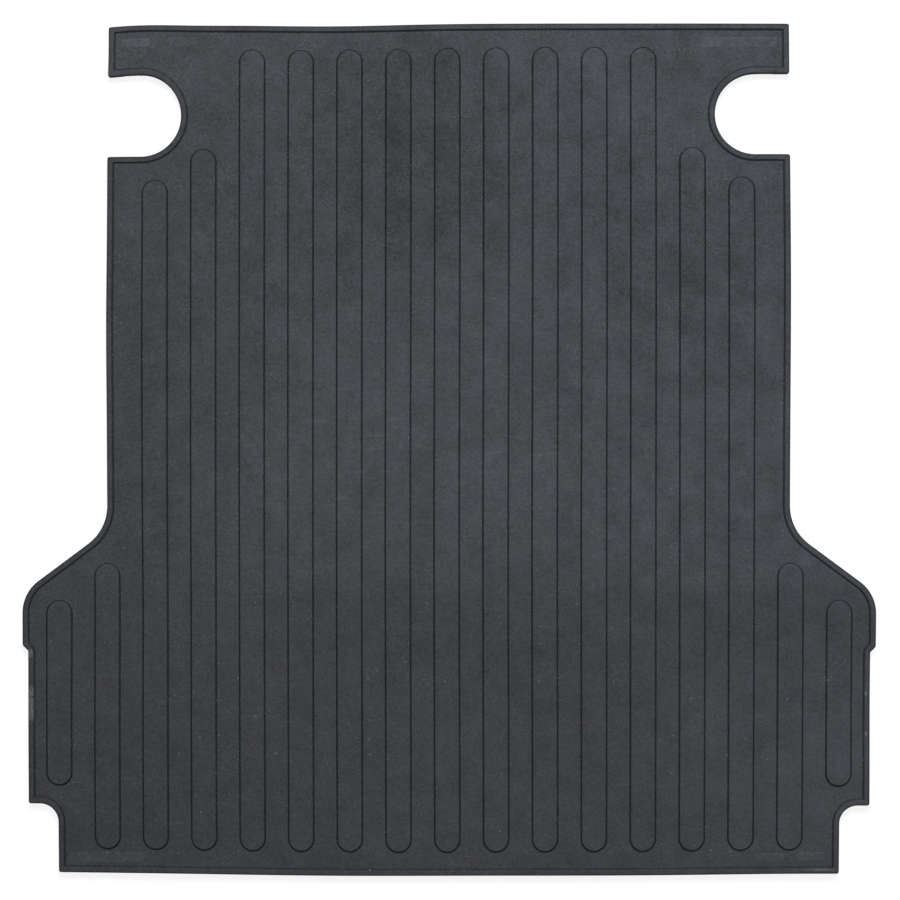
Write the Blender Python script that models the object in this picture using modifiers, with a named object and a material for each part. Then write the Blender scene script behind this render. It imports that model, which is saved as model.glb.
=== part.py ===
"""Ribbed rubber mat that lines the floor of a compact pickup's cargo bed.

The mat lies flat with its underside on z = 0, its front (bulkhead) edge towards +Y, its tail
(tailgate) edge towards -Y and its origin at the middle of the underside. The moulding is divided
along its own moulded lines: the base sheet, the raised rim that follows the edge, and the raised
ribs, each standing in a shallow pocket of the sheet with an open groove round it. All lengths are
in metres.
"""

import math

import bmesh
import bpy
from mathutils import Vector

# Rib pattern across the mat
RIB_COUNT = 17
RIB_PITCH = 0.0762
RIB_WIDTH = 0.0368
RIB_MARGIN = 0.0368
GROOVE_WIDTH = 0.0024

# Lengths along the mat, chained forward from the tail edge
MAT_LENGTH = 1.328
TAIL_LENGTH = 0.1086
REAR_SIDE_LENGTH = 0.2408
SHOULDER_LENGTH = 0.0826
LIP_LENGTH = 0.0780

# Insets of the sides from the widest place, the shoulders
STEP_IN = 0.0087
TAIL_INSET = 0.0471
HOUSING_INSET = 0.1350

# Notch in each side behind the front lip
NOTCH_WIDTH = 0.1270
NOTCH_DEPTH = 0.1160

# Shape of the flare behind each wheel housing, and the corner radii of the outline
FLARE_ANGLE = math.radians(53.6)
FLARE_INNER_RADIUS = 0.0750
FLARE_OUTER_RADIUS = 0.0615
TAIL_FILLET_RADIUS = 0.0290
STEP_RADIUS = 0.0050
CORNER_RADIUS = 0.0035

# Heights, stacked up from the underside
FLOOR_THICKNESS = 0.0050
GROOVE_DEPTH = 0.0029
RIB_RISE = 0.0016
CHANNEL_DEPTH = 0.0020
CHANNEL_WIDTH = 0.0240

# Edges and fits
RIM_WIDTH = 0.0086
EDGE_CHAMFER = 0.0006
SEAT_GAP = 0.0003
CUTTER_OVERRUN = 0.0100
FACET_SAG = 0.00015
WELD_DISTANCE = 0.00001

# Sizes that follow from the driving dimensions
FIELD_TOP = FLOOR_THICKNESS + GROOVE_DEPTH
RIB_TOP = FIELD_TOP + RIB_RISE
RIB_BOTTOM = FLOOR_THICKNESS + SEAT_GAP
RIB_RADIUS = RIB_WIDTH / 2
POCKET_RADIUS = RIB_RADIUS + GROOVE_WIDTH
RIB_REACH = POCKET_RADIUS + RIB_MARGIN
SHOULDER_HALF = (RIB_COUNT - 1) / 2 * RIB_PITCH + RIB_REACH
WAIST_HALF = SHOULDER_HALF - HOUSING_INSET
REAR_HALF = SHOULDER_HALF - STEP_IN
TAIL_HALF = REAR_HALF - TAIL_INSET

# Colours of the rubber, as linear red, green and blue
SHEET_COLOUR = (0.058, 0.062, 0.066, 1.0)
RIB_COLOUR = (0.060, 0.064, 0.068, 1.0)
RIM_COLOUR = (0.055, 0.058, 0.061, 1.0)
RUBBER_ROUGHNESS = 0.75


def clear_scene():
    for old in list(bpy.data.objects):
        bpy.data.objects.remove(old, do_unlink=True)


def new_collection(name):
    collection = bpy.data.collections.new(name)
    bpy.context.scene.collection.children.link(collection)
    return collection


def rubber(name, colour):
    material = bpy.data.materials.new(name)
    material.use_nodes = True
    shader = material.node_tree.nodes["Principled BSDF"]
    shader.inputs["Base Color"].default_value = colour
    shader.inputs["Roughness"].default_value = RUBBER_ROUGHNESS
    shader.inputs["Metallic"].default_value = 0.0
    return material


# Outline of the mat: corners of one side with their radii, then both sides as one loop

def side_corners(with_step):
    """Corners (x, y, radius) of the +X side, from the tail edge forward."""
    tail_y = -MAT_LENGTH / 2
    cut_y = tail_y + TAIL_LENGTH
    step_y = cut_y + REAR_SIDE_LENGTH
    shoulder_y = step_y + STEP_IN + SHOULDER_LENGTH
    waist_y = shoulder_y + HOUSING_INSET / math.tan(FLARE_ANGLE)
    front_y = MAT_LENGTH / 2
    notch_front = front_y - LIP_LENGTH
    notch_rear = notch_front - NOTCH_WIDTH
    notch_x = WAIST_HALF - NOTCH_DEPTH
    notch_radius = min(NOTCH_WIDTH / 2, NOTCH_DEPTH)
    rear_half = REAR_HALF if with_step else SHOULDER_HALF
    step = [
        (REAR_HALF, step_y, STEP_RADIUS),
        (SHOULDER_HALF, step_y + STEP_IN, STEP_RADIUS),
    ]
    return [
        (TAIL_HALF, tail_y, CORNER_RADIUS),
        (TAIL_HALF, cut_y, TAIL_FILLET_RADIUS),
        (rear_half, cut_y, CORNER_RADIUS),
        *(step if with_step else []),
        (SHOULDER_HALF, shoulder_y, FLARE_OUTER_RADIUS),
        (WAIST_HALF, waist_y, FLARE_INNER_RADIUS),
        (WAIST_HALF, notch_rear, CORNER_RADIUS),
        (notch_x, notch_rear, notch_radius),
        (notch_x, notch_front, notch_radius),
        (WAIST_HALF, notch_front, CORNER_RADIUS),
        (WAIST_HALF, front_y, CORNER_RADIUS),
    ]


def mat_corners(with_step=True):
    """Corners of the whole outline, counter-clockwise seen from above."""
    right = side_corners(with_step)
    left = [(-x, y, radius) for x, y, radius in reversed(right)]
    return right + left


def turn_angle(before, corner, after):
    """Signed angle through which the outline turns at a corner; left turns are positive."""
    along = Vector(corner[:2]) - Vector(before[:2])
    away = Vector(after[:2]) - Vector(corner[:2])
    return math.atan2(along.x * away.y - along.y * away.x, along.dot(away))


def with_neighbours(loop):
    return zip(loop[-1:] + loop[:-1], loop, loop[1:] + loop[:1])


def inset_corners(corners, distance):
    """The same outline moved inwards by a distance, its arcs staying concentric."""
    moved = []
    for before, corner, after in with_neighbours(corners):
        here = Vector(corner[:2])
        along = (here - Vector(before[:2])).normalized()
        turn = turn_angle(before, corner, after)
        inward = Vector((-along.y, along.x))
        place = here + distance * (inward - along * math.tan(turn / 2))
        radius = max(0.0, corner[2] - math.copysign(distance, turn))
        moved.append((place.x, place.y, radius))
    return moved


def arc(centre, radius, start, sweep):
    """Points along an arc, close enough together to keep to the facet sag."""
    step = 2 * math.acos(1 - min(FACET_SAG / radius, 1.0))
    count = max(2, math.ceil(abs(sweep) / step))
    angles = [start + sweep * index / count for index in range(count + 1)]
    return [centre + radius * Vector((math.cos(angle), math.sin(angle))) for angle in angles]


def fitted_radii(corners):
    """Corner radii, drawn in where two neighbouring arcs would not fit on their edge."""
    tangents = []
    for before, corner, after in with_neighbours(corners):
        tangents.append(corner[2] * math.tan(abs(turn_angle(before, corner, after)) / 2))
    shares = [1.0] * len(corners)
    for index, corner in enumerate(corners):
        edge = (Vector(corner[:2]) - Vector(corners[index - 1][:2])).length
        needed = tangents[index] + tangents[index - 1]
        if needed > edge:
            shares[index] = min(shares[index], edge / needed)
            shares[index - 1] = min(shares[index - 1], edge / needed)
    return [corner[2] * share for corner, share in zip(corners, shares)]


def rounded(corners):
    """Points of the closed outline whose corners are rounded by arcs."""
    points = []
    for (before, corner, after), radius in zip(with_neighbours(corners), fitted_radii(corners)):
        here = Vector(corner[:2])
        along = (here - Vector(before[:2])).normalized()
        turn = turn_angle(before, corner, after)
        side = math.copysign(1.0, turn)
        inward = side * Vector((-along.y, along.x))
        if radius < WELD_DISTANCE:
            stretch = [here]
        else:
            begin = here - along * radius * math.tan(abs(turn) / 2)
            start = math.atan2(-inward.y, -inward.x)
            stretch = arc(begin + inward * radius, radius, start, turn)
        if points and (stretch[0] - points[-1]).length < WELD_DISTANCE:
            stretch = stretch[1:]
        points.extend(stretch)
    return points


def stadium(radius, rear, front):
    """Outline of a bar with round ends, centred on x = 0, between its two end centres."""
    rear_end = arc(Vector((0, rear)), radius, math.pi, math.pi)
    front_end = arc(Vector((0, front)), radius, 0.0, math.pi)
    return rear_end + front_end


# Ribs: each runs as far as the same margin to the outline lets its round ends go

def distance_to(outline, point):
    nearest = math.inf
    for begin, end in zip(outline, outline[1:] + outline[:1]):
        edge = end - begin
        share = (point - begin).dot(edge) / edge.length_squared
        foot = begin + edge * min(1.0, max(0.0, share))
        nearest = min(nearest, (point - foot).length)
    return nearest


def end_centre(guide, x, start_y, direction):
    """Furthest centre of a rib's round end from the start, ahead (1) or astern (-1)."""
    least = RIB_REACH - FACET_SAG - WELD_DISTANCE
    stride = RIB_WIDTH / 4
    y = start_y
    while stride > WELD_DISTANCE:
        ahead = Vector((x, y + direction * stride))
        if distance_to(guide, ahead) < least:
            stride /= 2
        else:
            y = ahead.y
    return y


def rib_spans():
    """Place (x, rear end centre, front end centre) of each rib, from -X to +X."""
    guide = rounded(mat_corners(with_step=False))
    start_y = TAIL_LENGTH + REAR_SIDE_LENGTH / 2 - MAT_LENGTH / 2
    spans = []
    for index in range(RIB_COUNT):
        x = (index - (RIB_COUNT - 1) / 2) * RIB_PITCH
        rear = end_centre(guide, x, start_y, -1)
        front = end_centre(guide, x, start_y, 1)
        spans.append((x, rear, front))
    return spans


# Solids

def plate(name, outlines, bottom, top, collection):
    """A flat plate between two heights; outlines inside the first one are holes."""
    curve = bpy.data.curves.new(name + "_outline", "CURVE")
    curve.dimensions = "2D"
    curve.fill_mode = "BOTH"
    curve.extrude = (top - bottom) / 2
    for outline in outlines:
        spline = curve.splines.new("POLY")
        spline.points.add(len(outline) - 1)
        spline.use_cyclic_u = True
        for target, point in zip(spline.points, outline):
            target.co = (point.x, point.y, 0.0, 1.0)
    drawn = bpy.data.objects.new(name + "_outline", curve)
    drawn.location.z = (bottom + top) / 2
    collection.objects.link(drawn)
    depsgraph = bpy.context.evaluated_depsgraph_get()
    mesh = bpy.data.meshes.new_from_object(drawn.evaluated_get(depsgraph))
    mesh.name = name
    weld(mesh)
    solid = bpy.data.objects.new(name, mesh)
    solid.matrix_world = drawn.matrix_world
    collection.objects.link(solid)
    bpy.data.objects.remove(drawn, do_unlink=True)
    return solid


def weld(mesh):
    """Join a plate's loose caps to its walls and turn every face outwards."""
    shape = bmesh.new()
    shape.from_mesh(mesh)
    bmesh.ops.remove_doubles(shape, verts=shape.verts, dist=WELD_DISTANCE)
    bmesh.ops.recalc_face_normals(shape, faces=shape.faces)
    shape.to_mesh(mesh)
    shape.free()


def merge_caps(mesh):
    """Make each flat cap one face, so that a bevel runs evenly round it."""
    shape = bmesh.new()
    shape.from_mesh(mesh)
    inner = [edge for edge in shape.edges if all(abs(face.normal.z) > 0.5 for face in edge.link_faces)]
    bmesh.ops.dissolve_edges(shape, edges=inner, use_verts=False)
    shape.to_mesh(mesh)
    shape.free()


def finish(solid, material, frame):
    """Give a finished solid its material, smooth round walls and its place under the frame."""
    solid.data.materials.clear()
    solid.data.materials.append(material)
    solid.data.shade_smooth()
    solid.data.set_sharp_from_angle(angle=math.radians(40))
    solid.parent = frame


def chamfer(solid):
    bevel = solid.modifiers.new("edge_chamfer", "BEVEL")
    bevel.width = EDGE_CHAMFER
    bevel.segments = 1
    bevel.limit_method = "ANGLE"
    bevel.angle_limit = math.radians(60)


def add_cutter(solid):
    solid.hide_render = True
    solid.display_type = "WIRE"
    return solid


def make_ledge_cutter(cutters):
    """Clears the ledge that carries the rim and the groove inside the rim."""
    outside = rounded(inset_corners(mat_corners(), -CUTTER_OVERRUN))
    inside = rounded(inset_corners(mat_corners(), RIM_WIDTH + GROOVE_WIDTH))
    top = FIELD_TOP + CUTTER_OVERRUN
    return add_cutter(plate("rim_ledge_cut", [outside, inside], FLOOR_THICKNESS, top, cutters))


def make_pocket_cutter(number, span, cutters):
    x, rear, front = span
    outline = stadium(POCKET_RADIUS, rear, front)
    top = FIELD_TOP + CUTTER_OVERRUN
    cutter = plate(f"pocket_cut_{number:02d}", [outline], FLOOR_THICKNESS, top, cutters)
    cutter.location.x = x
    return add_cutter(cutter)


def make_channel_cutter(number, x, cutters):
    """A straight drain channel along the underside, open at both ends."""
    half_width = CHANNEL_WIDTH / 2
    half_length = MAT_LENGTH / 2 + CUTTER_OVERRUN
    outline = [
        Vector((-half_width, -half_length)),
        Vector((half_width, -half_length)),
        Vector((half_width, half_length)),
        Vector((-half_width, half_length)),
    ]
    cutter = plate(f"channel_cut_{number:02d}", [outline], -CUTTER_OVERRUN, CHANNEL_DEPTH, cutters)
    cutter.location.x = x
    return add_cutter(cutter)


def make_base_sheet(spans, parts, cutters):
    sheet = plate("base_sheet", [rounded(mat_corners())], 0.0, FIELD_TOP, parts)
    make_ledge_cutter(cutters)
    for number, span in enumerate(spans, start=1):
        make_pocket_cutter(number, span, cutters)
    for number, (left, right) in enumerate(zip(spans, spans[1:]), start=1):
        make_channel_cutter(number, (left[0] + right[0]) / 2, cutters)
    cut = sheet.modifiers.new("ledge_pockets_channels", "BOOLEAN")
    cut.operation = "DIFFERENCE"
    cut.solver = "EXACT"
    cut.operand_type = "COLLECTION"
    cut.collection = cutters
    return sheet


def make_rim(parts):
    """The raised border: its outer wall follows the sheet's edge, its inner wall the groove."""
    outside = rounded(mat_corners())
    inside = rounded(inset_corners(mat_corners(), RIM_WIDTH))
    return plate("edge_rim", [outside, inside], RIB_BOTTOM, RIB_TOP, parts)


def make_rib(number, span, parts):
    x, rear, front = span
    middle = (rear + front) / 2
    outline = stadium(RIB_RADIUS, rear - middle, front - middle)
    rib = plate(f"rib_{number:02d}", [outline], RIB_BOTTOM, RIB_TOP, parts)
    rib.location.x = x
    rib.location.y = middle
    merge_caps(rib.data)
    chamfer(rib)
    return rib


def main():
    clear_scene()
    parts = new_collection("truck_bed_mat")
    cutters = new_collection("cutters")
    frame = bpy.data.objects.new("mat_frame", None)
    parts.objects.link(frame)
    spans = rib_spans()
    rib_material = rubber("rib_rubber", RIB_COLOUR)
    for number, span in enumerate(spans, start=1):
        finish(make_rib(number, span, parts), rib_material, frame)
    finish(make_rim(parts), rubber("rim_rubber", RIM_COLOUR), frame)
    finish(make_base_sheet(spans, parts, cutters), rubber("sheet_rubber", SHEET_COLOUR), frame)


main()
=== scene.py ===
"""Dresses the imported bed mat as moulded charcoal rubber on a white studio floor.

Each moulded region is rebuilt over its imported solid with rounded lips, drafted walls and soft
edges, and takes a procedural rubber finish. Lengths are in metres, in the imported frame: +Y is the
mat's front edge, +Z is up out of the ribbed face, and the underside lies on z = 0.
"""

import math

import bmesh
import bpy
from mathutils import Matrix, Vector
from mathutils.geometry import delaunay_2d_cdt


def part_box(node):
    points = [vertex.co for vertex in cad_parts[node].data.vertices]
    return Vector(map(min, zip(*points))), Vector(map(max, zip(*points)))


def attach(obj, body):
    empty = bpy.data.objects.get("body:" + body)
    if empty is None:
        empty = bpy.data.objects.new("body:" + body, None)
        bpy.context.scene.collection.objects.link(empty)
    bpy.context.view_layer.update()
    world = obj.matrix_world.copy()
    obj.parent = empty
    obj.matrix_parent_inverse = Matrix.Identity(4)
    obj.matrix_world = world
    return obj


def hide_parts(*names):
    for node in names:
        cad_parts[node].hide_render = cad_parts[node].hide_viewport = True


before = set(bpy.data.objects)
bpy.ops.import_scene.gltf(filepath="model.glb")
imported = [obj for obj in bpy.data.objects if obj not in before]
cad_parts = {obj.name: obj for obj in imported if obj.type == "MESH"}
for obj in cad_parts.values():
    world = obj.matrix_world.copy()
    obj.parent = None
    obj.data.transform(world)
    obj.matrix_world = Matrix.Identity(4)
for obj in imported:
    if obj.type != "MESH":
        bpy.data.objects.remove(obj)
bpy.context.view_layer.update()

# Heights and overall sizes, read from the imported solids
RIB_NAMES = sorted(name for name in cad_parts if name.startswith("rib_"))
FIELD_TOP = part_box("base_sheet")[1].z
RIM_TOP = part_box("edge_rim")[1].z
RIB_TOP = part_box(RIB_NAMES[0])[1].z
SHOULDER_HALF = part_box("base_sheet")[1].x
MAT_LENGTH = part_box("base_sheet")[1].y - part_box("base_sheet")[0].y

# Plan of the mat, the same values as its solids have
TAIL_LENGTH = 0.1086
REAR_SIDE_LENGTH = 0.2408
SHOULDER_LENGTH = 0.0826
LIP_LENGTH = 0.0780
STEP_IN = 0.0087
TAIL_INSET = 0.0471
HOUSING_INSET = 0.1350
NOTCH_WIDTH = 0.1270
NOTCH_DEPTH = 0.1160
FLARE_ANGLE = math.radians(53.6)
FLARE_INNER_RADIUS = 0.0750
FLARE_OUTER_RADIUS = 0.0615
TAIL_FILLET_RADIUS = 0.0290
STEP_RADIUS = 0.0050
CORNER_RADIUS = 0.0035
WAIST_HALF = SHOULDER_HALF - HOUSING_INSET
REAR_HALF = SHOULDER_HALF - STEP_IN
TAIL_HALF = REAR_HALF - TAIL_INSET

# Sections: groove, rim, ribs and the drain channels of the underside
SEAT_TOP = 0.0050
RIB_GROOVE_FLOOR = 0.0068
RIM_GROOVE_FLOOR = 0.0076
GROOVE_WIDTH = 0.0024
RIM_WIDTH = 0.0087
EDGE_SWELL = 0.00012
LIP_ROUND = 0.0002
LIP_RUN = 0.0002
TOP_ROUND = 0.0005
RIM_TOP_ROUND = 0.0010
RIM_OUTER_ROUND = 0.0014
FOOT_FLARE = 0.0021
SEAT_GAP = 0.0002
SEAM_ROUND = 0.0003
UNDER_ROUND = 0.0008
SUPPORT_BAND = 0.0015
CHANNEL_DEPTH = 0.0020
CHANNEL_HALF = 0.0120
CHANNEL_SLOPE = 0.0024

# Painted shade, from 0 on the open tops to 1 in the grooves and along the outer edge, and how it varies
# with the direction of the light
TOP_EDGE_PAINTED_SHADE = 0.80
OUTER_EDGE_PAINTED_SHADE = 0.80
# Less painted shade in the ribs' front ends and where the rim's groove runs across in front, which face
# the light; painted shadow on the lip behind a rib's rear end and a little before its front end; more
# painted shade along the rim groove's sides
FRONT_END_PAINTED_LIGHT = 0.74
FRONT_LIP_SHADE = 0.22
REAR_LIP_SHADE = 0.85
FRONT_RUN_PAINTED_LIGHT = 0.12
SIDE_RUN_SHADE = 0.22

# Spacing of mesh points, and limits for rounding, merging, filling and smoothing
ARC_STEP = 0.0015
EDGE_STEP = 0.0120
LINE_CLEARANCE = EDGE_STEP / 4
CORNER_CLEARANCE = 2 * EDGE_STEP
SLANT_STEP = 0.0012
ROUND_STEPS = 4
RIB_END_STEPS = 36
CHANNEL_STEPS = 4
UNDER_STEP = 0.0600
SPAN_CLEARANCE = 2 * SUPPORT_BAND
LEAST_SPAN = 3 * SPAN_CLEARANCE
LEAST_RADIUS = 0.0010
MERGE_DISTANCE = 0.00001
FILL_INSIDE = 1
FILL_TOLERANCE = 1e-7
SHARP_ANGLE = math.radians(50)

# How the loose rubber lies: the whole sheet draws in a little with distance from its middle
DRAW_IN = 0.00960

# Local sags and bows of the lying sheet: centre, reach and shift of each
BOW_FRONT_LIFT = ((0.100, 0.664), (0.600, 0.100), (0.0, 0.00045))
BOW_FRONT_DIP = ((-0.175, 0.664), (0.130, 0.130), (0.0, -0.00284))
BOW_LEFT_LIP_RISE = ((-0.462, 0.625), (0.055, 0.090), (0.0, 0.00194))
BOW_LEFT_LIP_TUCK = ((-0.532, 0.640), (0.060, 0.060), (0.00142, 0.0))
BOW_LEFT_LIP_DROOP = ((-0.545, 0.610), (0.030, 0.080), (0.0, -0.00279))
BOW_RIGHT_NOTCH = ((0.510, 0.459), (0.080, 0.045), (0.0, 0.00128))
BOW_RIGHT_WAIST = ((0.532, 0.270), (0.070, 0.220), (0.00178, 0.0))
BOW_LEFT_WAIST = ((-0.532, 0.190), (0.060, 0.120), (-0.00127, 0.0))
BOW_TAIL_RIGHT = ((0.560, -0.664), (0.200, 0.120), (0.0, 0.00258))
BOW_TAIL_LEFT = ((-0.190, -0.664), (0.200, 0.120), (0.0, -0.00170))
BOW_REAR_LEFT = ((-0.580, -0.250), (0.160, 0.140), (0.00161, 0.0))
BOW_RIB_ENDS = ((0.030, -0.628), (0.260, 0.030), (0.0, -0.00090))
BOW_REAR_RIGHT = ((0.655, -0.385), (0.050, 0.090), (-0.00075, 0.0))
BOW_LEFT_SHOULDER = ((-0.664, -0.275), (0.050, 0.050), (-0.00060, 0.0))
BOW_MIDDLE = ((0.090, -0.150), (0.260, 0.300), (-0.00122, 0.0))
BOWS = (
    BOW_FRONT_LIFT,
    BOW_FRONT_DIP,
    BOW_LEFT_LIP_RISE,
    BOW_LEFT_LIP_TUCK,
    BOW_LEFT_LIP_DROOP,
    BOW_RIGHT_NOTCH,
    BOW_RIGHT_WAIST,
    BOW_LEFT_WAIST,
    BOW_TAIL_RIGHT,
    BOW_TAIL_LEFT,
    BOW_REAR_LEFT,
    BOW_REAR_RIGHT,
    BOW_RIB_ENDS,
    BOW_LEFT_SHOULDER,
    BOW_MIDDLE,
)

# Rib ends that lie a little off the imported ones: shift of the rear end and of the front end
RIB_END_SHIFTS = {
    "rib_01": (-0.0028, -0.0020),
    "rib_02": (0.0, -0.0016),
    "rib_03": (0.0, -0.0024),
    "rib_04": (0.0, -0.0035),
    "rib_05": (0.0, -0.0009),
    "rib_06": (0.0, -0.0009),
    "rib_08": (-0.0005, -0.0009),
    "rib_09": (-0.0005, -0.0006),
    "rib_10": (0.0, -0.0006),
    "rib_13": (0.0, -0.0005),
    "rib_14": (0.0, -0.0029),
    "rib_17": (-0.0013, 0.0),
}

# Blank moulded plates on the field: centre and size
PLATE_RISE = 0.0002
PLATE_EDGE = 0.0010
PLATE_SINK = 0.0003
PLATE_BEND_OUT = PLATE_EDGE / 3
PLATE_BEND_RISE = PLATE_RISE * 0.75
PLATE_CORNER = CORNER_RADIUS / 2
WORN_PLATE = "plate_front_left_a"
PLATES = {
    "plate_front_left_a": ((-0.4895, 0.6365), (0.0430, 0.0120)),
    "plate_front_left_b": ((-0.4155, 0.6375), (0.0430, 0.0110)),
    "plate_front_right": ((0.4535, 0.6345), (0.1160, 0.0150)),
    "plate_tail_left": ((-0.5355, -0.6395), (0.1150, 0.0150)),
    "plate_tail_right_a": ((0.5035, -0.6380), (0.0420, 0.0110)),
    "plate_tail_right_b": ((0.5670, -0.6370), (0.0410, 0.0120)),
}

# Camera of the straight-down view
CAMERA_PLACE = (0.069184, 0.019595, 3.2)
CAMERA_TURN = (-0.006040, 0.020360, -0.000183)
CAMERA_LENS = 82.188
SENSOR_WIDTH = 36.0

# Light and floor
KEY_PLACE = (0.45, 4.60, 4.00)
KEY_AIM = (0.0, 0.0, 0.0)
KEY_SIZE = 2.10
KEY_POWER = 455.0
WORLD_FILL = 0.20
FLOOR_SPAN = 60.0
FLOOR_DROP = 0.0002
FLOOR_COLOUR = (0.80, 0.80, 0.80, 1.0)
FLOOR_SEEN_COLOUR = (0.16, 0.16, 0.16, 1.0)
FLOOR_GLOW = 0.87
WHITE = (1.0, 1.0, 1.0, 1.0)


# Outline of the mat, as rings that all have the same points in the same order

def side_corners():
    """Corners (x, y, radius) of the +X side, from the tail edge forward."""
    tail_y = -MAT_LENGTH / 2
    cut_y = tail_y + TAIL_LENGTH
    step_y = cut_y + REAR_SIDE_LENGTH
    shoulder_y = step_y + STEP_IN + SHOULDER_LENGTH
    waist_y = shoulder_y + HOUSING_INSET / math.tan(FLARE_ANGLE)
    front_y = MAT_LENGTH / 2
    notch_front = front_y - LIP_LENGTH
    notch_rear = notch_front - NOTCH_WIDTH
    notch_x = WAIST_HALF - NOTCH_DEPTH
    return [
        (TAIL_HALF, tail_y, CORNER_RADIUS),
        (TAIL_HALF, cut_y, TAIL_FILLET_RADIUS),
        (REAR_HALF, cut_y, CORNER_RADIUS),
        (REAR_HALF, step_y, STEP_RADIUS),
        (SHOULDER_HALF, step_y + STEP_IN, STEP_RADIUS),
        (SHOULDER_HALF, shoulder_y, FLARE_OUTER_RADIUS),
        (WAIST_HALF, waist_y, FLARE_INNER_RADIUS),
        (WAIST_HALF, notch_rear, CORNER_RADIUS),
        (notch_x, notch_rear, NOTCH_WIDTH / 2),
        (notch_x, notch_front, NOTCH_WIDTH / 2),
        (WAIST_HALF, notch_front, CORNER_RADIUS),
        (WAIST_HALF, front_y, CORNER_RADIUS),
    ]


def mat_corners():
    right = side_corners()
    left = [(-x, y, radius) for x, y, radius in reversed(right)]
    return right + left


def with_neighbours(loop):
    return zip(loop[-1:] + loop[:-1], loop, loop[1:] + loop[:1])


def turn_angle(before, corner, after):
    along = Vector(corner[:2]) - Vector(before[:2])
    away = Vector(after[:2]) - Vector(corner[:2])
    return math.atan2(along.x * away.y - along.y * away.x, along.dot(away))


def inset_corners(corners, distance):
    """The same corners moved inwards by a distance, their arcs staying concentric."""
    moved = []
    for before, corner, after in with_neighbours(corners):
        here = Vector(corner[:2])
        along = (here - Vector(before[:2])).normalized()
        turn = turn_angle(before, corner, after)
        inward = Vector((-along.y, along.x))
        place = here + distance * (inward - along * math.tan(turn / 2))
        radius = max(LEAST_RADIUS, corner[2] - distance * math.copysign(1.0, turn))
        moved.append((place.x, place.y, radius))
    return moved


def arc(centre, radius, start, sweep, count):
    angles = [start + sweep * index / count for index in range(count + 1)]
    return [centre + radius * Vector((math.cos(angle), math.sin(angle))) for angle in angles]


def corner_arc(before, corner, after, count):
    here = Vector(corner[:2])
    along = (here - Vector(before[:2])).normalized()
    turn = turn_angle(before, corner, after)
    inward = math.copysign(1.0, turn) * Vector((-along.y, along.x))
    begin = here - along * corner[2] * math.tan(abs(turn) / 2)
    start = math.atan2(-inward.y, -inward.x)
    return arc(begin + inward * corner[2], corner[2], start, turn, count)


def arc_counts(corners):
    counts = []
    for before, corner, after in with_neighbours(corners):
        length = abs(turn_angle(before, corner, after)) * corner[2]
        counts.append(max(ROUND_STEPS, math.ceil(length / ARC_STEP)))
    return counts


def rib_line(name):
    """Middle x, rear and front end centre, and radius of a rib."""
    low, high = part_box(name)
    radius = (high.x - low.x) / 2
    rear_shift, front_shift = RIB_END_SHIFTS.get(name, (0.0, 0.0))
    return (low.x + high.x) / 2, low.y + radius + rear_shift, high.y - radius + front_shift, radius


def channel_lines():
    """The x of every line of points along the drain channels' slopes."""
    lines = []
    for x in CHANNEL_PLACES:
        for side in (-1, 1):
            for index in range(CHANNEL_STEPS + 1):
                share = index / CHANNEL_STEPS
                lines.append(x + side * (CHANNEL_HALF + CHANNEL_SLOPE * (0.5 - share)))
    return sorted(lines)


RIB_LINES = [rib_line(name) for name in RIB_NAMES]
CHANNEL_PLACES = [(left[0] + right[0]) / 2 for left, right in zip(RIB_LINES, RIB_LINES[1:])]
CHANNEL_LINES = channel_lines()


def even_shares(length, step):
    count = max(1, math.ceil(length / step))
    return [index / count for index in range(1, count)]


def edge_stops(begin, end):
    """Where points go along a straight edge: x values on a cross edge, else shares of it."""
    edge = end - begin
    slanted = min(abs(edge.x), abs(edge.y)) > LEAST_RADIUS
    if slanted or abs(edge.y) > abs(edge.x):
        return False, even_shares(edge.length, SLANT_STEP if slanted else EDGE_STEP)
    low, high = sorted((begin.x, end.x))
    lines = [x for x in CHANNEL_LINES if low < x < high]
    even = [begin.x + edge.x * share for share in even_shares(edge.length, EDGE_STEP)]
    spare = [x for x in even if all(abs(x - line) > LINE_CLEARANCE for line in lines)]
    inner = [x for x in spare if low + CORNER_CLEARANCE < x < high - CORNER_CLEARANCE]
    return True, sorted(lines + inner, reverse=edge.x < 0)


def edge_points(begin, end, stops):
    by_x, values = stops
    if by_x:
        values = [(x - begin.x) / (end.x - begin.x) for x in values]
    return [begin.lerp(end, share) for share in values]


def corner_arcs(corners, counts):
    return [corner_arc(*three, count) for three, count in zip(with_neighbours(corners), counts)]


def straight_edges(arcs):
    """Begin and end of the straight edge that follows each arc."""
    return [(here[-1], there[0]) for here, there in zip(arcs, arcs[1:] + arcs[:1])]


OUTLINE = inset_corners(mat_corners(), -EDGE_SWELL)
ARC_COUNTS = arc_counts(OUTLINE)
EDGE_STOPS = [edge_stops(*edge) for edge in straight_edges(corner_arcs(OUTLINE, ARC_COUNTS))]


def outline_ring(distance):
    """The outline moved inwards by a distance."""
    arcs = corner_arcs(inset_corners(OUTLINE, distance), ARC_COUNTS)
    points = []
    for arc_points, edge, stops in zip(arcs, straight_edges(arcs), EDGE_STOPS):
        points.extend(arc_points)
        points.extend(edge_points(*edge, stops))
    return points


def stadium_ring(line, radius):
    """Outline of a bar with round ends round a rib's middle line."""
    x, rear, front, _ = line
    rear_end = arc(Vector((x, rear)), radius, math.pi, math.pi, RIB_END_STEPS)
    front_end = arc(Vector((x, front)), radius, 0.0, math.pi, RIB_END_STEPS)
    shares = even_shares(front - rear, EDGE_STEP)
    right = [rear_end[-1].lerp(front_end[0], share) for share in shares]
    left = [front_end[-1].lerp(rear_end[0], share) for share in shares]
    return rear_end + right + front_end + left


# Meshes made of lofted rings and flat fills

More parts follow.
